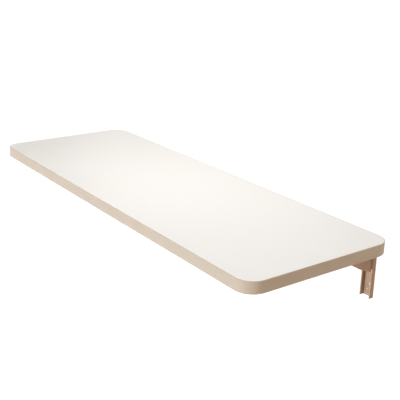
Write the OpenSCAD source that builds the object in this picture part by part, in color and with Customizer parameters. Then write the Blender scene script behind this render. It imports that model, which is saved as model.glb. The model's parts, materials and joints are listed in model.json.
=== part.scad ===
// Wall-mounted fold-down desk: a white laminated top on a pair of locking folding brackets.
// Millimetres. X runs along the wall, +Y points into the wall, +Z is up. The origin is on the
// wall plane, at the centre of the rectangle of the four main wall holes. The top is modelled
// level, with both latches let go: each nose is lifted clear of its lock pin.

/* [Desktop] */
// Length of the top along the wall
top_length = 1400; // [1340:10:1600]
// Depth of the top, from its back edge to its front edge
top_depth = 480; // [440:10:560]
// Overall thickness of the top
top_thickness = 33; // [28:1:40]
// Radius of the four corners, seen from above
corner_r = 50; // [30:5:80]
// Thickness of the edge band
band_t = 2; // [1.5:0.5:3]
// Thickness of each laminate sheet
laminate_t = 1; // [0.6:0.2:1.4]
// Gap between the wall and the back edge
wall_gap = 2; // [1:0.5:4]

/* [Wall channels] */
// Distance between the two brackets, centre to centre
bracket_spacing = 1270; // [1000:10:1280]
// Outer width of a wall channel
channel_w = 36; // [36:0.5:37]
// Depth of a wall channel's flanges
channel_d = 16; // [15:0.5:18]
// Thickness of a wall channel's steel
channel_t = 3; // [2.5:0.25:3]
// Distance between the upper and the lower main wall hole
wall_hole_spacing = 88; // [80:2:92]
// Diameter of the wall holes
wall_hole_d = 5.5; // [5:0.5:6.5]

/* [Folding arms] */
// Reach of an arm, from the wall plane to the end of its steel
arm_reach = 390; // [350:10:410]
// Outer width of an arm
arm_w = 28.2; // [28:0.1:28.2]
// Thickness of an arm's steel
arm_t = 2; // [1.5:0.25:2.25]
// Depth of an arm at its tip
arm_tip_depth = 12; // [12:0.5:16]
// Depth of an arm where its gusset begins
arm_root_depth = 18; // [17:0.5:19]
// Diameter of the fold pivot pin
pivot_d = 8; // [6:0.5:8]
// Diameter of the lock pin
lock_d = 6; // [5:0.25:6]

/* [Latch] */
// Angle that the latch swings through between locked and let go
latch_swing = 8; // [7:0.5:8]
// Outer width of the latch lever
lever_w = 21; // [20:0.5:22]
// Thickness of the latch lever's steel
lever_t = 2; // [1.5:0.25:2]
// Wire diameter of the latch spring
wire_d = 1.2; // [1:0.1:1.4]

/* [Hidden] */

paint = [0.60, 0.48, 0.38]; // colour of the brackets' powder coat
$fn = 64;
fit = 0.05;                 // radial clearance of a pin in its bore
cut = 1;                    // how far a cutter runs past a face
glue = 0.1;                 // glue line between the core and the edge band

// Heights
underside_z = 71;           // underside of the top, which rests on the arms
channel_top = 68;           // just under the top
channel_bottom = -78;

// Desktop outline
front_y = -wall_gap - top_depth;
core_z = underside_z + laminate_t;
core_t = top_thickness - 2 * laminate_t;
band_edge_r = 1;            // small round on the band's outer edges

// Wall channel
bend_r = 3.5;               // outer bend radius of the channel and the arms
offset_hole = [-6.3, -60.7]; // X, from the channel's centre, and Z of the extra wall hole

// Fold pivot, as Y and Z
pivot = [-10, 6];
heel_r = 6.8;               // the heel round the pivot, which lands on the web when folded
pin_head_r = 6.5;
pin_head_t = 2;
pin_head_round = 1;
pin_tail = 2;               // length of the pin beyond its clip
clip_t = 0.8;
clip_groove_depth = 0.8;
clip_groove_r = pivot_d / 2 - clip_groove_depth;
clip_mouth = 1.6 * clip_groove_r; // narrower than the groove, so the clip snaps on
clip_gap = 0.3;             // between the channel's flange and the clip
clip_x = channel_w / 2 + clip_gap;
washer_t = 0.8;
washer_r = 6;

// Lock pin, as Y and Z, and the slot by which it leaves the arm
lock = [-11, 50];
lock_orbit_r = norm(lock - pivot);
lock_head_t = 1.5;
slot_clear = 0.2;
rivet_rim = 1.5;            // how far a rivet's head stands out past its shank

// Arm outline, as Y and Z
arm_back_y = -4;
gusset_start_y = -13;       // where the gusset's round leaves the heel
gusset_y = -66;             // where the gusset's round becomes straight
gusset_slope = 30;          // slope of the straight stretch, in degrees
gusset_r = 227;             // radius of the round stretch
gusset_end = [-120, underside_z - arm_root_depth];
gusset_z = gusset_end[1] - (gusset_y - gusset_end[0]) * tan(gusset_slope);
gusset_centre = [gusset_y, gusset_z] + gusset_r * [sin(gusset_slope), cos(gusset_slope)];
taper = atan((arm_root_depth - arm_tip_depth) / (arm_reach + gusset_end[0]));
gusset_fillet_r = 60;
gauge_hole = [-19, 36];     // round hole through the gusset, just in front of the channel
gauge_hole_r = 3.2;

// Arm screws
last_screw_margin = 40;     // from an arm's tip to its last screw
screw_ys = [-22, -150, -250, last_screw_margin - arm_reach];
screw_r = 2;
screw_head_r = 4.2;
screw_head_h = 2.4;
screw_length = 22;
screw_head_round = 1.2;
screw_play = 0.3;           // radial play of a screw in the arm

// Arm end cap
cap_t = 3;
plug_length = 12;
plug_drop = 0.1;            // gap between the plug and the arm's web
plug_rise = 0.5;            // how far the plug stops above the arm's lower edge

// Latch, as Y and Z with the nose down on the lock pin
latch_pivot = [-60, 44];
latch_pin_r = 2.5;
latch_head_t = 1.2;
lever_boss_r = 7;
nose_top = 60.5;
nose_back_y = -4.2;
nose_gap = 0.3;             // play between the nose and the lock pin
nose_bottom = 47.5;
nose_tip_w = 0.8;           // flat at the bottom of the nose
nose_ramp_h = 5;            // height of the ramp that rides over the lock pin
nose_chamfer = 1;
neck_top_y = -14;           // where the neck meets the nose, above and below
neck_bottom_y = -17;
pad_front_y = -120;
pad_z = 51;                 // underside of the lever's web
pad_back_y = -78;
cheek_h = 7;
lever_inner_w = lever_w - 2 * lever_t;

// Latch grip
grip_t = 2;
grip_back_y = -96;
lip_t = 4;
lip_top = 60;
rib_r = 0.8;
rib_ys = [-112, -106, -100];
rib_inset = 1.5;            // distance from a rib's end to the grip's side

// Latch spring
coil_r = 5.4;
coil_turns = 4;
coil_pitch = wire_d * 1.15;
coil_start = 125;           // angle at which the first leg leaves the coil
coil_finish = coil_start + 360 * coil_turns + 116; // and the second leg
arm_leg = 24;               // length of the leg that bears on the arm
lever_leg = 22;             // length of the leg that bears on the lever
wire_sides = 8;
turn_steps = 20;            // steps along the wire in each full turn

// ---- helpers ----

// Places a right-hand bracket's piece at the right bracket
module at_right() {
    translate([bracket_spacing / 2, 0, 0])
        children();
}

// Mirrors a right-hand bracket's piece to the left bracket
module at_left() {
    mirror([1, 0, 0])
        at_right()
            children();
}

// Extrudes a side outline, drawn as Y and Z, across the bracket
module across(width) {
    rotate([90, 0, 90])
        linear_extrude(width, center = true)
            children();
}

// A round bar or hole across the bracket, centred on x = 0, at a place given as Y and Z
module cross_bar(at, radius, length) {
    translate([0, at[0], at[1]])
        rotate([0, 90, 0])
            cylinder(h = length, r = radius, center = true);
}

// A turned piece on an axis across the bracket: its profile is radius and X
module turned(at) {
    translate([0, at[0], at[1]])
        rotate([0, 90, 0])
            rotate_extrude()
                children();
}

// A rivet across the bracket, with a flat head beyond each side of what it joins
module rivet(at, radius, width, head_t) {
    turned(at) {
        translate([0, -width / 2 - head_t])
            square([radius, width + 2 * head_t]);
        for (x = [-width / 2 - head_t, width / 2])
            translate([0, x])
                square([radius + rivet_rim, head_t]);
    }
}

// Channel section: web along y = 0, flanges towards -Y, bends of outer radius bend_r
module channel_section(width, depth, thickness) {
    translate([-width / 2 + bend_r, -thickness])
        square([width - 2 * bend_r, thickness]);
    for (side = [-1, 1])
        mirror([side < 0 ? 1 : 0, 0]) {
            translate([width / 2 - thickness, -depth])
                square([thickness, depth - bend_r]);
            translate([width / 2 - bend_r, -bend_r])
                intersection() {
                    difference() {
                        circle(bend_r);
                        circle(bend_r - thickness);
                    }
                    square(bend_r);
                }
        }
}

// Points along an arc, from one angle to another
function arc_points(centre, radius, from, to, steps) =
    [for (i = [0 : steps]) let (a = from + (to - from) * i / steps) centre + radius * [cos(a), sin(a)]];

// Swings a latch piece from its locked place to its let-go place
module let_go() {
    translate([0, latch_pivot[0], latch_pivot[1]])
        rotate([latch_swing, 0, 0])
            translate([0, -latch_pivot[0], -latch_pivot[1]])
                children();
}

// ---- desktop ----

// Rounded outline of the top, drawn in by a margin on every side
module top_outline(margin) {
    r = corner_r - margin;
    half_x = top_length / 2 - margin;
    depth = top_depth - 2 * margin;
    translate([-half_x + r, front_y + margin])
        square([2 * (half_x - r), depth]);
    translate([-half_x, front_y + margin + r])
        square([2 * half_x, depth - 2 * r]);
    for (x = [-half_x + r, half_x - r], y = [front_y + margin + r, front_y + margin + depth - r])
        translate([x, y])
            circle(r, $fn = 96);
}

// Pilot holes for the arm screws, in whatever they are cut from
module pilot_holes() {
    for (side = [-1, 1], y = screw_ys)
        translate([side * bracket_spacing / 2, y, underside_z - cut])
            cylinder(h = screw_length + cut, r = screw_r + fit);
}

module core_board() {
    color("burlywood")
        difference() {
            translate([0, 0, core_z])
                linear_extrude(core_t)
                    top_outline(band_t + glue);
            pilot_holes();
        }
}

module top_laminate() {
    color("white")
        translate([0, 0, core_z + core_t])
            linear_extrude(laminate_t)
                top_outline(band_t + glue);
}

module backer_laminate() {
    color("whitesmoke")
        difference() {
            translate([0, 0, underside_z])
                linear_extrude(laminate_t)
                    top_outline(band_t + glue);
            pilot_holes();
        }
}

// Cross-section of the edge band: x runs outwards from its inner face, y is height
module band_section() {
    square([band_t - band_edge_r, top_thickness]);
    translate([0, band_edge_r])
        square([band_t, top_thickness - 2 * band_edge_r]);
    for (z = [band_edge_r, top_thickness - band_edge_r])
        translate([band_t - band_edge_r, z])
            circle(band_edge_r, $fn = 32);
}

// One straight run of edge band, with its inner face on y = 0 and facing outwards to -Y
module band_run(length) {
    rotate([90, 0, -90])
        linear_extrude(length, center = true)
            band_section();
}

// One rounded corner of edge band, in the quadrant of +X and +Y
module band_corner() {
    rotate_extrude(angle = 90, $fn = 96)
        translate([corner_r - band_t, 0])
            band_section();
}

module edge_band() {
    run_x = top_length - 2 * corner_r;
    run_y = top_depth - 2 * corner_r;
    mid_y = front_y + top_depth / 2;
    color("tan")
        translate([0, mid_y, underside_z])
            for (turn = [0, 180]) {
                rotate([0, 0, turn])
                    translate([0, -top_depth / 2 + band_t, 0])
                        band_run(run_x);
                rotate([0, 0, turn + 90])
                    translate([0, -top_length / 2 + band_t, 0])
                        band_run(run_y);
                rotate([0, 0, turn])
                    translate([run_x / 2, run_y / 2, 0])
                        band_corner();
                rotate([0, 0, turn + 90])
                    translate([run_y / 2, run_x / 2, 0])
                        band_corner();
            }
}

// ---- wall channel and its pins, as a right-hand bracket centred on x = 0 ----

module wall_channel() {
    difference() {
        translate([0, 0, channel_bottom])
            linear_extrude(channel_top - channel_bottom)
                channel_section(channel_w, channel_d, channel_t);
        for (z = [-wall_hole_spacing / 2, wall_hole_spacing / 2])
            translate([0, cut, z])
                rotate([90, 0, 0])
                    cylinder(h = channel_t + 2 * cut, d = wall_hole_d);
        translate([offset_hole[0], cut, offset_hole[1]])
            rotate([90, 0, 0])
                cylinder(h = channel_t + 2 * cut, d = wall_hole_d);
        cross_bar(pivot, pivot_d / 2 + fit, channel_w + 2 * cut);
        cross_bar(lock, lock_d / 2 + fit, channel_w + 2 * cut);
    }
}

module wall_channel_left() {
    color(paint)
        at_left()
            wall_channel();
}

module wall_channel_right() {
    color(paint)
        at_right()
            wall_channel();
}

// Pin with a low round head on the outer side and a groove for its clip on the inner side
module pivot_pin() {
    half_w = channel_w / 2;
    tip = clip_x + clip_t + pin_tail;
    turned(pivot)
        difference() {
            union() {
                translate([0, -tip])
                    square([pivot_d / 2, tip + half_w]);
                translate([0, half_w])
                    square([pin_head_r - pin_head_round, pin_head_t]);
                translate([0, half_w])
                    square([pin_head_r, pin_head_t - pin_head_round]);
                translate([pin_head_r - pin_head_round, half_w + pin_head_t - pin_head_round])
                    circle(pin_head_round, $fn = 24);
            }
            translate([clip_groove_r, -clip_x - clip_t - fit])
                square([pivot_d, clip_t + 2 * fit]);
        }
}

module pivot_pin_left() {
    color(paint)
        at_left()
            pivot_pin();
}

module pivot_pin_right() {
    color(paint)
        at_right()
            pivot_pin();
}

// Open retaining clip that snaps into the pin's groove from the front
module pivot_clip() {
    difference() {
        translate([-clip_x - clip_t / 2, 0, 0])
            cross_bar(pivot, pin_head_r, clip_t);
        translate([-clip_x - clip_t / 2, 0, 0])
            cross_bar(pivot, clip_groove_r + fit, clip_t + 2 * cut);
        translate([-clip_x - clip_t - cut, pivot[0] - pin_head_r - cut, pivot[1] - clip_mouth / 2])
            cube([clip_t + 2 * cut, pin_head_r + cut, clip_mouth]);
    }
}

module pivot_clip_left() {
    color("dimgray")
        at_left()
            pivot_clip();
}

module pivot_clip_right() {
    color("dimgray")
        at_right()
            pivot_clip();
}

// Pair of nylon washers, one each side of the arm
module thrust_washers() {
    gap_middle = (arm_w / 2 + channel_w / 2 - channel_t) / 2;
    for (side = [-1, 1])
        difference() {
            translate([side * gap_middle, 0, 0])
                cross_bar(pivot, washer_r, washer_t);
            translate([side * gap_middle, 0, 0])
                cross_bar(pivot, pivot_d / 2 + fit, washer_t + 2 * cut);
        }
}

module thrust_washers_left() {
    color("ivory")
        at_left()
            thrust_washers();
}

module thrust_washers_right() {
    color("ivory")
        at_right()
            thrust_washers();
}

// Rivet across the channel that the latch hooks behind
module lock_pin() {
    rivet(lock, lock_d / 2, channel_w, lock_head_t);
}

module lock_pin_left() {
    color(paint)
        at_left()
            lock_pin();
}

module lock_pin_right() {
    color(paint)
        at_right()
            lock_pin();
}

// ---- folding arm, as a right-hand bracket centred on x = 0 ----

// Side outline of the arm but for its heel: a round and then a straight gusset, and a taper
module arm_outline() {
    round_start = 180 + acos((gusset_centre[0] - gusset_start_y) / gusset_r);
    round_steps = 10;
    fillet_steps = 6;
    fillet_half = (180 - gusset_slope + taper) / 2;
    fillet_middle = 270 - (gusset_slope + taper) / 2;
    fillet_centre = gusset_end
        + gusset_fillet_r / sin(fillet_half) * [cos(fillet_middle), sin(fillet_middle)];
    polygon(concat(
        [[arm_back_y, underside_z], [arm_back_y, pivot[1]], [pivot[0], pivot[1] - heel_r / 2]],
        arc_points(gusset_centre, gusset_r, round_start, 270 - gusset_slope, round_steps),
        arc_points(fillet_centre, gusset_fillet_r, 90 - gusset_slope, 90 - taper, fillet_steps),
        [[-arm_reach, underside_z - arm_tip_depth], [-arm_reach, underside_z]]
    ));
}

// Curved slot, open to the wall, that follows the lock pin's path as the arm folds
module lock_slot() {
    half = lock_d / 2 + slot_clear;
    translate(lock)
        circle(half);
    intersection() {
        translate(pivot)
            difference() {
                circle(lock_orbit_r + half, $fn = 128);
                circle(lock_orbit_r - half, $fn = 128);
            }
        translate([lock[0], lock[1] - lock_d])
            square([arm_back_y - lock[0] + cut, 2 * lock_d]);
    }
}

module arm() {
    difference() {
        intersection() {
            translate([0, 0, underside_z])
                rotate([90, 0, 0])
                    linear_extrude(arm_reach + cut)
                        channel_section(arm_w, underside_z + heel_r + cut, arm_t);
            union() {
                across(arm_w + 2 * cut)
                    arm_outline();
                cross_bar(pivot, heel_r, arm_w + 2 * cut);
            }
        }
        across(arm_w + 2 * cut)
            lock_slot();
        cross_bar(pivot, pivot_d / 2 + fit, arm_w + 2 * cut);
        cross_bar(latch_pivot, latch_pin_r + fit, arm_w + 2 * cut);
        cross_bar(gauge_hole, gauge_hole_r, arm_w + 2 * cut);
        for (y = screw_ys)
            translate([0, y, underside_z - arm_t - cut])
                cylinder(h = arm_t + 2 * cut, r = screw_r + screw_play);
    }
}

module arm_left() {
    color(paint)
        at_left()
            arm();
}

module arm_right() {
    color(paint)
        at_right()
            arm();
}

// One pan-head screw, head down, with a cross recess
module arm_screw() {
    recess_w = 1.1;
    recess_l = 4.6;
    recess_d = 1.5;
    flat_r = screw_head_r - screw_head_round;
    rim_z = screw_head_round - screw_head_h;
    difference() {
        rotate_extrude() {
            square([screw_r, screw_length]);
            translate([0, -screw_head_h])
                square([flat_r, screw_head_h]);
            translate([0, rim_z])
                square([screw_head_r, -rim_z]);
            translate([flat_r, rim_z])
                circle(screw_head_round, $fn = 24);
        }
        for (turn = [0, 90])
            rotate([0, 0, turn])
                translate([-recess_l / 2, -recess_w / 2, -screw_head_h - cut])
                    cube([recess_l, recess_w, recess_d + cut]);
    }
}

module arm_screws() {
    for (y = screw_ys)
        translate([0, y, underside_z - arm_t])
            arm_screw();
}

module arm_screws_left() {
    color("darkgray")
        at_left()
            arm_screws();
}

module arm_screws_right() {
    color("darkgray")
        at_right()
            arm_screws();
}

// Plastic plug that closes the tip of the arm
module arm_end_cap() {
    plug_w = arm_w - 2 * bend_r;
    plug_h = arm_tip_depth - arm_t - plug_drop - plug_rise;
    nose_r = cap_t / 2;
    front = -arm_reach - cap_t;
    bottom = underside_z - arm_tip_depth;
    translate([-arm_w / 2, front + nose_r, bottom])
        cube([arm_w, nose_r, arm_tip_depth]);
    translate([-arm_w / 2, front, bottom + nose_r])
        cube([arm_w, nose_r, arm_tip_depth - nose_r]);
    cross_bar([front + nose_r, bottom + nose_r], nose_r, arm_w);
    translate([-plug_w / 2, -arm_reach, bottom + plug_rise])
        cube([plug_w, plug_length, plug_h]);
}

module arm_end_cap_left() {
    color(paint)
        at_left()
            arm_end_cap();
}

module arm_end_cap_right() {
    color(paint)
        at_right()
            arm_end_cap();
}

// ---- latch, as a right-hand bracket centred on x = 0 ----

// Side outline of the lever's two cheeks, with the nose down on the lock pin
module cheek_outline() {
    nose_front_y = lock[0] + lock_d / 2 + nose_gap;
    roof = lock[1] + lock_d / 2 + nose_gap;
    translate(latch_pivot)
        circle(lever_boss_r);
    polygon([
        [nose_front_y, nose_bottom],
        [nose_front_y + nose_tip_w, nose_bottom],
        [nose_back_y, nose_bottom + nose_ramp_h],
        [nose_back_y, nose_top - nose_chamfer],
        [nose_back_y - nose_chamfer, nose_top],
        [neck_top_y, nose_top],
        [latch_pivot[0], latch_pivot[1] + lever_boss_r],
        [latch_pivot[0], latch_pivot[1] - lever_boss_r],
        [neck_bottom_y, roof],
        [nose_front_y, roof]
    ]);
    polygon([
        [latch_pivot[0], latch_pivot[1] + lever_boss_r],
        [latch_pivot[0], latch_pivot[1] - lever_boss_r],
        [pad_back_y, pad_z],
        [pad_front_y, pad_z],
        [pad_front_y, pad_z + cheek_h],
        [pad_back_y, pad_z + cheek_h]
    ]);
}

// Sheet-metal lever: two cheeks joined by a web at the front
module latch_lever() {
    hollow_bottom = latch_pivot[1] - lever_boss_r - cut;
    hollow_h = nose_top - hollow_bottom + cut;
    let_go()
        difference() {
            union() {
                difference() {
                    across(lever_w)
                        cheek_outline();
                    across(lever_inner_w)
                        translate([pad_front_y - cut, hollow_bottom])
                            square([-pad_front_y + cut, hollow_h]);
                }
                translate([-lever_w / 2, pad_front_y, pad_z])
                    cube([lever_w, pad_back_y - pad_front_y, lever_t]);
            }
            cross_bar(latch_pivot, latch_pin_r + fit, lever_w + 2 * cut);
        }
}

module latch_lever_left() {
    color("lightgray")
        at_left()
            latch_lever();
}

module latch_lever_right() {
    color("lightgray")
        at_right()
            latch_lever();
}

// Moulded finger grip under and in front of the lever's web
module latch_grip() {
    lip_y = pad_front_y - lip_t;
    lip_r = lip_t / 2;
    let_go() {
        translate([-lever_w / 2, pad_front_y, pad_z - grip_t])
            cube([lever_w, grip_back_y - pad_front_y, grip_t]);
        translate([-lever_w / 2, lip_y, pad_z])
            cube([lever_w, lip_t, lip_top - lip_r - pad_z]);
        cross_bar([lip_y + lip_r, lip_top - lip_r], lip_r, lever_w);
        translate([-lever_w / 2, lip_y + grip_t, pad_z - grip_t])
            cube([lever_w, lip_t - grip_t, grip_t]);
        cross_bar([lip_y + grip_t, pad_z], grip_t, lever_w);
        for (y = rib_ys)
            cross_bar([y, pad_z - grip_t], rib_r, lever_w - 2 * rib_inset);
    }
}

module latch_grip_left() {
    color("dimgray")
        at_left()
            latch_grip();
}

module latch_grip_right() {
    color("dimgray")
        at_right()
            latch_grip();
}

// Rivet that carries the lever and the spring
module latch_pin() {
    rivet(latch_pivot, latch_pin_r, arm_w, latch_head_t);
}

module latch_pin_left() {
    color("gray")
        at_left()
            latch_pin();
}

module latch_pin_right() {
    color("gray")
        at_right()
            latch_pin();
}

// A point on the spring's coil: turned by an angle from +Z towards -Y, and along X
function coil_point(angle) = [
    coil_pitch * (angle / 360 - coil_turns / 2),
    latch_pivot[0] - coil_r * sin(angle),
    latch_pivot[1] + coil_r * cos(angle)
];

// A leg leaves the coil at a tangent; sense is -1 at the coil's start and 1 at its end
function leg_point(angle, sense, run) = coil_point(angle)
    + sense * run * [0, -cos(angle), -sin(angle)];

// Ring of wire round point p, whose wire runs along direction t
function wire_ring(p, t) = let (
    side = cross(t, [1, 0, 0]) / norm(cross(t, [1, 0, 0])),
    up = cross(side, t) / norm(cross(side, t))
) [for (k = [0 : wire_sides - 1])
    p + wire_d / 2 * (cos(360 * k / wire_sides) * side + sin(360 * k / wire_sides) * up)];

// Torsion spring: one leg up to the arm's web behind the pin, one under the lever's web
module latch_spring() {
    sweep = coil_finish - coil_start;
    steps = ceil(sweep / 360 * turn_steps);
    coil = [for (i = [0 : steps]) coil_point(coil_start + sweep * i / steps)];
    path = concat([leg_point(coil_start, -1, arm_leg)], coil, [leg_point(coil_finish, 1, lever_leg)]);
    last = len(path) - 1;
    rings = [for (i = [0 : last])
        wire_ring(path[i], path[min(i + 1, last)] - path[max(i - 1, 0)])];
    faces = concat(
        [[for (k = [0 : wire_sides - 1]) k]],
        [[for (k = [wire_sides - 1 : -1 : 0]) last * wire_sides + k]],
        [for (i = [0 : last - 1], k = [0 : wire_sides - 1])
            let (ring = i * wire_sides, after = ring + wire_sides, next = (k + 1) % wire_sides)
            [ring + k, after + k, after + next, ring + next]]
    );
    polyhedron(points = [for (ring = rings, point = ring) point], faces = faces);
}

module latch_spring_left() {
    color("slategray")
        at_left()
            latch_spring();
}

module latch_spring_right() {
    color("slategray")
        at_right()
            latch_spring();
}

core_board();
top_laminate();
backer_laminate();
edge_band();
wall_channel_left();
wall_channel_right();
pivot_pin_left();
pivot_pin_right();
pivot_clip_left();
pivot_clip_right();
thrust_washers_left();
thrust_washers_right();
lock_pin_left();
lock_pin_right();
arm_left();
arm_right();
arm_screws_left();
arm_screws_right();
arm_end_cap_left();
arm_end_cap_right();
latch_lever_left();
latch_lever_right();
latch_grip_left();
latch_grip_right();
latch_pin_left();
latch_pin_right();
latch_spring_left();
latch_spring_right();
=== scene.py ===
"""Wall-mounted fold-down desk: looks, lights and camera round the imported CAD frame."""
import json
import math

import bmesh
import bpy
from mathutils import Matrix, Vector


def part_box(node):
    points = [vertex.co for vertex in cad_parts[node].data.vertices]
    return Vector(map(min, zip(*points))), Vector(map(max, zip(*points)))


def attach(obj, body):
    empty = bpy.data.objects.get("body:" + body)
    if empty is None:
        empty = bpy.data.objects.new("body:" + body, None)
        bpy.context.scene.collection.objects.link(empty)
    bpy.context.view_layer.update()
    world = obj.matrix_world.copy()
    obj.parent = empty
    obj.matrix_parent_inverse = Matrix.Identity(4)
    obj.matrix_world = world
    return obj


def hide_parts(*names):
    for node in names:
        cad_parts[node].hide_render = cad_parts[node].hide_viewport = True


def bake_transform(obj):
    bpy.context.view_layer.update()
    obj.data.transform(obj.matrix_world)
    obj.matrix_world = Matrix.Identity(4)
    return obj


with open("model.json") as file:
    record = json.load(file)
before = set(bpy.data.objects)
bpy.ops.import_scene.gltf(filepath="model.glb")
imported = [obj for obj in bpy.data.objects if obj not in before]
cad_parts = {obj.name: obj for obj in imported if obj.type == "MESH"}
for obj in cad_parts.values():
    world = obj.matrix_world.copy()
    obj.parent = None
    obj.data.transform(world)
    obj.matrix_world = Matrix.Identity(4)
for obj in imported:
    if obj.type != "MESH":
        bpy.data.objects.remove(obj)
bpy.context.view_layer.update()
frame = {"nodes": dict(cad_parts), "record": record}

MM = 0.001
SIDES = ("left", "right")

# The camera, measured from the middle of the top's back edge, at the height of its surface
CAMERA_FROM_BACK_EDGE = Vector((1.8687, -1.4660, 0.7299))
CAMERA_YAW = math.radians(54.02)
CAMERA_PITCH = math.radians(19.21)
CAMERA_ROLL = math.radians(1.23)
CAMERA_LENS_MM = 68.08
CAMERA_SENSOR_MM = 36

FLOOR_BELOW_SURFACE = 0.75
FLOOR_SIZE = 60
FLOOR_COLOUR = (0.96, 0.96, 0.955)
BACKDROP_R = 29                 # just inside the floor's edge
BACKDROP_COLOUR = (0.90, 0.90, 0.895)
ROOM_COLOUR = (1.0, 0.99, 0.98)
ROOM_STRENGTH = 0.08


def both(*names):
    """The left and right nodes of each name."""
    return [f"{name}_{side}" for name in names for side in SIDES]


# ---- camera, floor and light ----

def camera_axes(yaw, pitch, roll):
    """Right, up and back of a camera that looks along +Y, then turns, tips down and rolls."""
    forward = Vector((-math.sin(yaw) * math.cos(pitch),
                      math.cos(yaw) * math.cos(pitch),
                      -math.sin(pitch)))
    right = forward.cross(Vector((0, 0, 1))).normalized()
    up = right.cross(forward)
    rolled_right = math.cos(roll) * right + math.sin(roll) * up
    rolled_up = -math.sin(roll) * right + math.cos(roll) * up
    return rolled_right, rolled_up, -forward


def add_camera():
    low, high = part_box("edge_band")
    back_edge = Vector(((low.x + high.x) / 2, high.y, high.z))
    data = bpy.data.cameras.new("camera")
    data.lens = CAMERA_LENS_MM
    data.sensor_width = CAMERA_SENSOR_MM
    camera = bpy.data.objects.new("camera", data)
    bpy.context.scene.collection.objects.link(camera)
    axes = camera_axes(CAMERA_YAW, CAMERA_PITCH, CAMERA_ROLL)
    turn = Matrix([list(axis) for axis in axes]).transposed().to_4x4()
    camera.matrix_world = Matrix.Translation(back_edge + CAMERA_FROM_BACK_EDGE) @ turn
    bpy.context.scene.camera = camera


def aim(light, direction):
    """Points a light along a direction."""
    light.rotation_euler = Vector(direction).to_track_quat("-Z", "Y").to_euler()


def add_light(name, kind, colour, power):
    data = bpy.data.lights.new(name, kind)
    data.energy = power
    data.color = colour
    light = bpy.data.objects.new(name, data)
    bpy.context.scene.collection.objects.link(light)
    return light


def add_sun(name, azimuth, elevation, irradiance, colour, spread):
    """A very soft sun. Azimuth 0 stands in front of the desk and 90 stands to its right."""
    sun = add_light(name, "SUN", colour, irradiance * math.pi)
    sun.data.angle = math.radians(spread)
    turn, tip = math.radians(azimuth), math.radians(elevation)
    aim(sun, (-math.sin(turn) * math.cos(tip), math.cos(turn) * math.cos(tip), -math.sin(tip)))


def add_softbox(name, at, target, size, power, colour, spread=180):
    """A rectangular light that the camera doesn't see. Spread is in degrees, as a grid would limit it."""
    box = add_light(name, "AREA", colour, power)
    box.data.spread = math.radians(spread)
    box.data.shape = "RECTANGLE"
    box.data.size, box.data.size_y = size
    box.location = at
    box.visible_camera = False
    aim(box, Vector(target) - Vector(at))


def add_lights():
    """Soft studio light, bright enough that the floor comes out white.

    The front strip is gridded, so that it lights the front edge and the brackets but leaves the
    lower part of the folded top grey, and it stands out from the floor. The under light whitens
    the floor in the desk's shade, from below where the folded top hangs.
    """
    add_softbox("front", at=(-0.26, -2.9, 0.2), target=(0.0, -0.48, 0.05), size=(2.8, 0.25),
                power=5, colour=(0.74, 0.84, 1.0), spread=16)
    add_sun("overhead", azimuth=-150, elevation=74, irradiance=1.04,
            colour=(1.0, 0.99, 0.985), spread=100)
    add_sun("warm_side", azimuth=84, elevation=9, irradiance=0.18,
            colour=(1.0, 0.5, 0.1), spread=40)
    add_softbox("window", at=(-3.6, 2.6, 1.7), target=(-0.6, -0.2, 0.1), size=(2.6, 1.6),
                power=12, colour=(1.0, 0.985, 0.97))
    add_softbox("pool", at=(-0.05, -0.2, 1.0), target=(-0.05, -0.2, 0.1), size=(0.5, 0.3),
                power=3.6, colour=(0.97, 0.985, 1.0))
    add_softbox("under", at=(-0.1, -0.1, -0.5), target=(-0.1, -0.1, -1), size=(2.0, 1.2),
                power=4.5, colour=(1.0, 0.99, 0.98))
    world = bpy.data.worlds.new("studio")
    bpy.context.scene.world = world
    world.use_nodes = True
    background = world.node_tree.nodes["Background"]
    background.inputs["Color"].default_value = (*ROOM_COLOUR, 1)
    background.inputs["Strength"].default_value = ROOM_STRENGTH


def add_floor():
    surface_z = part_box("edge_band")[1].z
    floor_z = surface_z - FLOOR_BELOW_SURFACE
    bpy.ops.mesh.primitive_plane_add(size=FLOOR_SIZE, location=(0, 0, floor_z))
    floor = bpy.context.object
    floor.name = "floor"
    coat = Surface("floor_paint", colour=FLOOR_COLOUR, roughness=0.9)
    coat.bump(coat.noise(40, detail=3), strength=0.05, distance=1 * MM)
    floor.data.materials.append(coat.material)


def add_backdrop():
    """A pale dome that hides the floor's edge. Only the camera sees it: it lights and shades nothing."""
    bpy.ops.mesh.primitive_uv_sphere_add(radius=BACKDROP_R, segments=48, ring_count=24)
    dome = bpy.context.object
    dome.name = "backdrop"
    dome.visible_diffuse = False
    dome.visible_glossy = False
    dome.visible_transmission = False
    dome.visible_shadow = False
    coat = Surface("backdrop_paint", colour=(0, 0, 0), roughness=1.0)
    coat.set("Emission Color", (*BACKDROP_COLOUR, 1))
    coat.set("Emission Strength", 1.0)
    dome.data.materials.append(coat.material)


# ---- materials ----

# The first colour below is painted shade: near black, painted on the walls of the wall holes so they look
# dark as if in shadow.
HOLE_SHADE_COLOUR = (0.035, 0.03, 0.027)
SPRING_STEEL = (0.20, 0.20, 0.21)
HOLE_SHADE_MARGIN = 0.12 * MM            # how far the painted shade reaches round a hole


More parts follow.
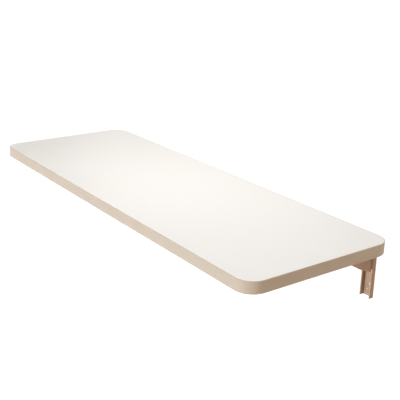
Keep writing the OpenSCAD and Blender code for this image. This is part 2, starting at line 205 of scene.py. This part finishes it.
class Surface:
    """A Principled material, with helpers that add procedural detail in real sizes (per metre)."""

    def __init__(self, name, colour, roughness, metallic=0.0):
        self.material = bpy.data.materials.new(name)
        self.material.use_nodes = True
        self.tree = self.material.node_tree
        self.shader = self.tree.nodes["Principled BSDF"]
        self.set("Base Color", (*colour, 1))
        self.set("Roughness", roughness)
        self.set("Metallic", metallic)
        self.base_colour = colour
        self.base_roughness = roughness
        self.place = self.tree.nodes.new("ShaderNodeTexCoord").outputs["Object"]

    def set(self, socket, value):
        self.shader.inputs[socket].default_value = value

    def link(self, out, into):
        self.tree.links.new(out, into)

    def stretched(self, scale):
        """Object coordinates scaled differently along X, Y and Z."""
        mapping = self.tree.nodes.new("ShaderNodeMapping")
        mapping.inputs["Scale"].default_value = scale
        self.link(self.place, mapping.inputs["Vector"])
        return mapping.outputs["Vector"]

    def noise(self, scale, detail=2.0, roughness=0.5, place=None):
        node = self.tree.nodes.new("ShaderNodeTexNoise")
        node.inputs["Scale"].default_value = scale
        node.inputs["Detail"].default_value = detail
        node.inputs["Roughness"].default_value = roughness
        self.link(place or self.place, node.inputs["Vector"])
        return node.outputs["Fac"]

    def cells(self, scale, place=None):
        node = self.tree.nodes.new("ShaderNodeTexVoronoi")
        node.inputs["Scale"].default_value = scale
        self.link(place or self.place, node.inputs["Vector"])
        return node

    def ramp(self, value, low, high, start=(0, 0, 0), end=(1, 1, 1)):
        """Maps a value between low and high to a colour between start and end."""
        node = self.tree.nodes.new("ShaderNodeValToRGB")
        node.color_ramp.elements[0].position = low
        node.color_ramp.elements[1].position = high
        node.color_ramp.elements[0].color = (*start, 1)
        node.color_ramp.elements[1].color = (*end, 1)
        self.link(value, node.inputs["Fac"])
        return node.outputs["Color"]

    def tint(self, value, low, high, darker, lighter):
        """Varies the base colour between two shares of itself, following a value."""
        start = [c * d for c, d in zip(self.base_colour, darker)]
        end = [c * d for c, d in zip(self.base_colour, lighter)]
        self.colour_from(self.ramp(value, low, high, start, end))

    def colour_from(self, colour):
        self.link(colour, self.shader.inputs["Base Color"])

    def paint_hole_shade(self, holes, colour):
        """Paints shade on the walls of holes that run along Y, over the colour so far: a dark colour that
        stands in for the shadow inside them.
        """
        flat = self.stretched((1, 0, 1))
        inside = None
        for x, z, radius in holes:
            away = self.tree.nodes.new("ShaderNodeVectorMath")
            away.operation = "DISTANCE"
            self.link(flat, away.inputs[0])
            away.inputs[1].default_value = (x, 0, z)
            near = self.tree.nodes.new("ShaderNodeMath")
            near.operation = "LESS_THAN"
            self.link(away.outputs["Value"], near.inputs[0])
            near.inputs[1].default_value = radius + HOLE_SHADE_MARGIN
            is_near = near.outputs["Value"]
            inside = is_near if inside is None else self.larger(inside, is_near)
        mix = self.tree.nodes.new("ShaderNodeMixRGB")
        self.link(inside, mix.inputs["Fac"])
        self.link(self.shader.inputs["Base Color"].links[0].from_socket, mix.inputs["Color1"])
        mix.inputs["Color2"].default_value = (*colour, 1)
        self.colour_from(mix.outputs["Color"])

    def larger(self, first, second):
        """The larger of two values."""
        node = self.tree.nodes.new("ShaderNodeMath")
        node.operation = "MAXIMUM"
        self.link(first, node.inputs[0])
        self.link(second, node.inputs[1])
        return node.outputs["Value"]

    def vary_roughness(self, value, spread, low=0.3, high=0.7):
        """Varies the roughness by a spread to each side, following a value."""
        start = [self.base_roughness - spread] * 3
        end = [self.base_roughness + spread] * 3
        self.link(self.ramp(value, low, high, start, end), self.shader.inputs["Roughness"])

    def blended(self, first, second):
        """The mean of two values."""
        node = self.tree.nodes.new("ShaderNodeMix")
        node.inputs["Factor"].default_value = 0.5
        self.link(first, node.inputs["A"])
        self.link(second, node.inputs["B"])
        return node.outputs["Result"]

    def bump(self, height, strength, distance, below=None):
        """Adds a relief, on top of one below it where there is one. Gives its normal."""
        node = self.tree.nodes.new("ShaderNodeBump")
        node.inputs["Strength"].default_value = strength
        node.inputs["Distance"].default_value = distance
        self.link(height, node.inputs["Height"])
        if below is not None:
            self.link(below, node.inputs["Normal"])
        self.link(node.outputs["Normal"], self.shader.inputs["Normal"])
        return node.outputs["Normal"]


def white_laminate():
    """Satin melamine with a fine pearl texture and faint handling marks."""
    coat = Surface("white_laminate", colour=(0.62, 0.602, 0.572), roughness=0.36)
    coat.set("Specular IOR Level", 0.35)
    coat.tint(coat.noise(2.2, detail=4), 0.35, 0.65, darker=(0.985, 0.98, 0.975), lighter=(1, 1, 1))
    coat.vary_roughness(coat.noise(9, detail=5, roughness=0.6), 0.05)
    pearl = coat.bump(coat.noise(900, detail=2), strength=0.3, distance=0.05 * MM)
    coat.bump(coat.noise(60, detail=2), strength=0.04, distance=0.2 * MM, below=pearl)
    return coat.material


def backing_laminate():
    """Plainer, duller white sheet."""
    coat = Surface("backing_laminate", colour=(0.78, 0.755, 0.72), roughness=0.55)
    coat.tint(coat.noise(5, detail=5), 0.3, 0.7, darker=(0.95, 0.94, 0.93), lighter=(1, 1, 1))
    coat.vary_roughness(coat.noise(30, detail=4), 0.06)
    coat.bump(coat.noise(700, detail=3), strength=0.35, distance=0.08 * MM)
    return coat.material


def beige_band():
    """Extruded plastic edge band: fine lines along its length and a soft, mottled tone."""
    coat = Surface("beige_band", colour=(0.405, 0.32, 0.235), roughness=0.5)
    coat.set("Specular IOR Level", 0.3)
    lines = coat.noise(1, detail=3, place=coat.stretched((12, 12, 1800)))
    coat.tint(coat.blended(coat.noise(14, detail=5), lines), 0.35, 0.65,
              darker=(0.965, 0.96, 0.95), lighter=(1.02, 1.02, 1.02))
    grain = coat.bump(lines, strength=0.35, distance=0.06 * MM)
    coat.bump(coat.noise(1400, detail=1), strength=0.35, distance=0.04 * MM, below=grain)
    coat.vary_roughness(coat.noise(25, detail=4), 0.06)
    return coat.material


def particle_board():
    """Pressed wood chips."""
    coat = Surface("particle_board", colour=(0.50, 0.36, 0.22), roughness=0.9)
    chips = coat.cells(420, coat.stretched((1, 1, 2.5)))
    coat.tint(chips.outputs["Color"], 0.1, 0.9, darker=(0.7, 0.66, 0.6), lighter=(1.2, 1.2, 1.15))
    coat.bump(chips.outputs["Distance"], strength=0.5, distance=0.4 * MM)
    return coat.material


def wall_holes():
    """X and Z of every wall hole, and their radius, from the record's bolt patterns."""
    holes = []
    for mount in frame["record"]["mounts"]:
        if mount["kind"] == "bolt_pattern":
            dims = mount["dims"]
            rows = (-1, 1) if "spacing_y_mm" in dims else (0,)
            for across, up in ((a, u) for a in (-1, 1) for u in rows):
                x = mount["pos_m"][0] + across * dims["spacing_x_mm"] * MM / 2
                z = mount["pos_m"][2] + up * dims.get("spacing_y_mm", 0) * MM / 2
                holes.append((x, z, dims["hole_r_mm"] * MM))
    return holes


def powder_coat():
    """Warm beige powder coat with orange peel. The walls of the wall holes get a near-black painted
    shade, so they look dark.
    """
    coat = Surface("powder_coat", colour=(0.32, 0.197, 0.118), roughness=0.5)
    coat.set("Specular IOR Level", 0.3)
    coat.tint(coat.blended(coat.noise(35, detail=4), coat.noise(1500, detail=1)), 0.35, 0.65,
              darker=(0.90, 0.90, 0.89), lighter=(1.07, 1.07, 1.07))
    coat.vary_roughness(coat.noise(90, detail=3), 0.07)
    peel = coat.bump(coat.noise(420, detail=1), strength=0.55, distance=0.15 * MM)
    coat.bump(coat.noise(2200, detail=1), strength=0.3, distance=0.04 * MM, below=peel)
    # Painted shade: the walls of the wall holes are painted near black, so they look dark as if in
    # shadow.
    coat.paint_hole_shade(wall_holes(), HOLE_SHADE_COLOUR)
    return coat.material


def plated_steel(name, colour, roughness, lines=(300, 12, 300)):
    """Zinc-plated or bright steel, with rolling lines and a cloudy finish."""
    coat = Surface(name, colour=colour, roughness=roughness, metallic=1.0)
    coat.tint(coat.noise(60, detail=5), 0.25, 0.75, darker=(0.86, 0.87, 0.9), lighter=(1.06, 1.05, 1.0))
    coat.vary_roughness(coat.noise(160, detail=4), 0.09)
    coat.bump(coat.noise(6, detail=3, place=coat.stretched(lines)), strength=0.2, distance=0.04 * MM)
    return coat.material


def moulded_plastic(name, colour, roughness, grain=1800):
    """Moulded plastic with a fine spark-eroded grain."""
    coat = Surface(name, colour=colour, roughness=roughness)
    coat.tint(coat.noise(50, detail=4), 0.3, 0.7, darker=(0.92, 0.92, 0.92), lighter=(1.06, 1.06, 1.06))
    coat.vary_roughness(coat.noise(200, detail=3), 0.06)
    coat.bump(coat.noise(grain, detail=2), strength=0.5, distance=0.08 * MM)
    return coat.material


# ---- latch springs ----

COIL_CENTRE = Vector((635, -60, 44)) * MM       # of the right-hand spring
COIL_R = 5.4 * MM
COIL_TURNS = 4
COIL_PITCH = 1.38 * MM
COIL_START = 125                # angles in degrees, from +Z towards -Y
COIL_PART_TURN = 116            # on top of the whole turns
COIL_FINISH = COIL_START + 360 * COIL_TURNS + COIL_PART_TURN
ARM_LEG = 24 * MM
LEVER_LEG = 22 * MM
WIRE_R = 0.6 * MM
WIRE_SIDES = 14
COIL_STEP = 9                   # degrees from ring to ring
LEG_STEPS = 6
TIP_STEPS = 4
TIP_SHARE = 0.02                # the smallest ring at a wire's end, as a share of its radius


def coil_point(angle):
    turn = math.radians(angle)
    along = COIL_PITCH * (angle / 360 - COIL_TURNS / 2)
    return Vector((along, -COIL_R * math.sin(turn), COIL_R * math.cos(turn)))


def coil_tangent(angle):
    turn = math.radians(angle)
    return Vector((0, -math.cos(turn), -math.sin(turn)))


def spring_path():
    """Points along the wire: the leg on the arm, the coil and the leg under the lever."""
    start, finish = coil_point(COIL_START), coil_point(COIL_FINISH)
    start_way, finish_way = coil_tangent(COIL_START), coil_tangent(COIL_FINISH)
    first = [start - start_way * ARM_LEG * (1 - i / LEG_STEPS) for i in range(LEG_STEPS)]
    coil = [coil_point(angle) for angle in range(COIL_START, COIL_FINISH + 1, COIL_STEP)]
    last = [finish + finish_way * LEVER_LEG * i / LEG_STEPS for i in range(1, LEG_STEPS + 1)]
    return first + coil + last


def rounded_ends(path, radius):
    """The path with a short dome of rings at each end, each point paired with its ring's radius."""
    def dome(end, inwards):
        rings = []
        for i in range(TIP_STEPS):
            angle = math.pi / 2 * i / TIP_STEPS
            centre = end + inwards * radius * (1 - math.cos(angle))
            rings.append((centre, radius * max(math.sin(angle), TIP_SHARE)))
        return rings

    first_way = (path[1] - path[0]).normalized()
    last_way = (path[-2] - path[-1]).normalized()
    inner = [path[0] + first_way * radius, *path[1:-1], path[-1] + last_way * radius]
    wire = [(point, radius) for point in inner]
    return dome(path[0], first_way) + wire + dome(path[-1], last_way)[::-1]


def wire_mesh(name, path, radius, place):
    """A smooth round wire along a path, as one closed mesh. Place puts each point where it belongs."""
    rings = rounded_ends(path, radius)
    mesh = bmesh.new()
    loops = []
    for i, (point, ring_r) in enumerate(rings):
        way = (rings[min(i + 1, len(rings) - 1)][0] - rings[max(i - 1, 0)][0]).normalized()
        side = way.cross(Vector((1, 0, 0))).normalized()
        up = side.cross(way)
        loop = []
        for k in range(WIRE_SIDES):
            angle = 2 * math.pi * k / WIRE_SIDES
            spoke = math.cos(angle) * side + math.sin(angle) * up
            loop.append(mesh.verts.new(place(point + ring_r * spoke)))
        loops.append(loop)
    for loop, after in zip(loops, loops[1:]):
        for k in range(WIRE_SIDES):
            n = (k + 1) % WIRE_SIDES
            mesh.faces.new((loop[k], after[k], after[n], loop[n]))
    mesh.faces.new(loops[0])
    mesh.faces.new(loops[-1][::-1])
    bmesh.ops.recalc_face_normals(mesh, faces=mesh.faces)
    for face in mesh.faces:
        face.smooth = True
    data = bpy.data.meshes.new(name)
    mesh.to_mesh(data)
    mesh.free()
    wire = bpy.data.objects.new(name, data)
    bpy.context.scene.collection.objects.link(wire)
    return wire


def add_springs():
    """Smooth torsion springs in place of the faceted ones."""
    steel = plated_steel("spring_wire", SPRING_STEEL, 0.36, lines=(40, 900, 900))
    path = spring_path()
    for side, way in (("right", 1), ("left", -1)):
        def place(point):
            """From the coil's centre to the desk, mirrored for the left side."""
            spot = COIL_CENTRE + point
            return Vector((way * spot.x, spot.y, spot.z))
        wire = wire_mesh(f"spring_wire_{side}", path, WIRE_R, place)
        wire.data.materials.append(steel)
        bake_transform(wire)
        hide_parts(f"latch_spring_{side}")


# ---- rounded edges ----

SAME_PLACE = 0.001 * MM
FLAT_ANGLE = math.radians(0.5)
SHARP_ANGLE = math.radians(35)
FLAT_FACE_WEIGHT = 100          # shading keeps to the large flat faces beside a rounded edge
EDGE_R = {"wall_channel": 0.4 * MM, "arm": 0.35 * MM, "latch_lever": 0.25 * MM,
          "latch_grip": 0.3 * MM, "arm_end_cap": 0.35 * MM, "lock_pin": 0.35 * MM,
          "latch_pin": 0.3 * MM, "pivot_clip": 0.12 * MM}


def rounded_copy(node, radius):
    """A copy of a CAD piece with its sharp edges broken to a small radius."""
    mesh = bmesh.new()
    mesh.from_mesh(frame["nodes"][node].data)
    bmesh.ops.remove_doubles(mesh, verts=mesh.verts, dist=SAME_PLACE)
    bmesh.ops.dissolve_limit(mesh, angle_limit=FLAT_ANGLE, verts=mesh.verts, edges=mesh.edges)
    for face in mesh.faces:
        face.smooth = True
    data = bpy.data.meshes.new(f"{node}_rounded")
    mesh.to_mesh(data)
    mesh.free()
    piece = bpy.data.objects.new(f"{node}_rounded", data)
    bpy.context.scene.collection.objects.link(piece)
    bevel = piece.modifiers.new("edges", "BEVEL")
    bevel.width = radius
    bevel.segments = 2
    bevel.limit_method = "ANGLE"
    bevel.angle_limit = SHARP_ANGLE
    bevel.use_clamp_overlap = False
    normals = piece.modifiers.new("normals", "WEIGHTED_NORMAL")
    normals.mode = "FACE_AREA"
    normals.weight = FLAT_FACE_WEIGHT
    graph = bpy.context.evaluated_depsgraph_get()
    piece.data = bpy.data.meshes.new_from_object(piece.evaluated_get(graph))
    piece.modifiers.clear()
    return piece


def round_the_frame():
    """Shows rounded copies in place of the sharp pieces, in their bodies and with their materials."""
    bodies = {node: body
              for body, nodes in frame["record"]["behaviour"]["bodies"].items()
              for node in nodes}
    for kind, radius in EDGE_R.items():
        for node in both(kind):
            piece = rounded_copy(node, radius)
            piece.data.materials.clear()
            piece.data.materials.append(frame["nodes"][node].material_slots[0].material)
            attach(piece, bodies[node])
            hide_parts(node)


# ---- dressing the frame ----

def dress(material, *nodes):
    """Gives CAD nodes a material."""
    for name in nodes:
        for slot in frame["nodes"][name].material_slots:
            slot.material = material


def dress_frame():
    dress(white_laminate(), "top_laminate")
    dress(backing_laminate(), "backer_laminate")
    dress(beige_band(), "edge_band")
    dress(particle_board(), "core_board")
    dress(powder_coat(), *both("wall_channel", "arm", "pivot_pin", "lock_pin"))
    dress(plated_steel("pin_steel", (0.42, 0.41, 0.40), 0.34), *both("latch_pin"))
    dress(plated_steel("zinc_plate", (0.60, 0.59, 0.57), 0.36), *both("latch_lever"))
    dress(plated_steel("spring_steel", SPRING_STEEL, 0.4), *both("pivot_clip", "latch_spring"))
    dress(plated_steel("screw_zinc", (0.66, 0.65, 0.62), 0.28), *both("arm_screws"))
    dress(moulded_plastic("nylon", (0.78, 0.75, 0.67), 0.45), *both("thrust_washers"))
    dress(moulded_plastic("cap_plastic", (0.30, 0.19, 0.115), 0.5), *both("arm_end_cap"))
    dress(moulded_plastic("grip_plastic", (0.03, 0.03, 0.032), 0.5), *both("latch_grip"))


bpy.context.scene.view_settings.view_transform = "Standard"
dress_frame()
round_the_frame()
add_springs()
add_floor()
add_backdrop()
add_lights()
add_camera()
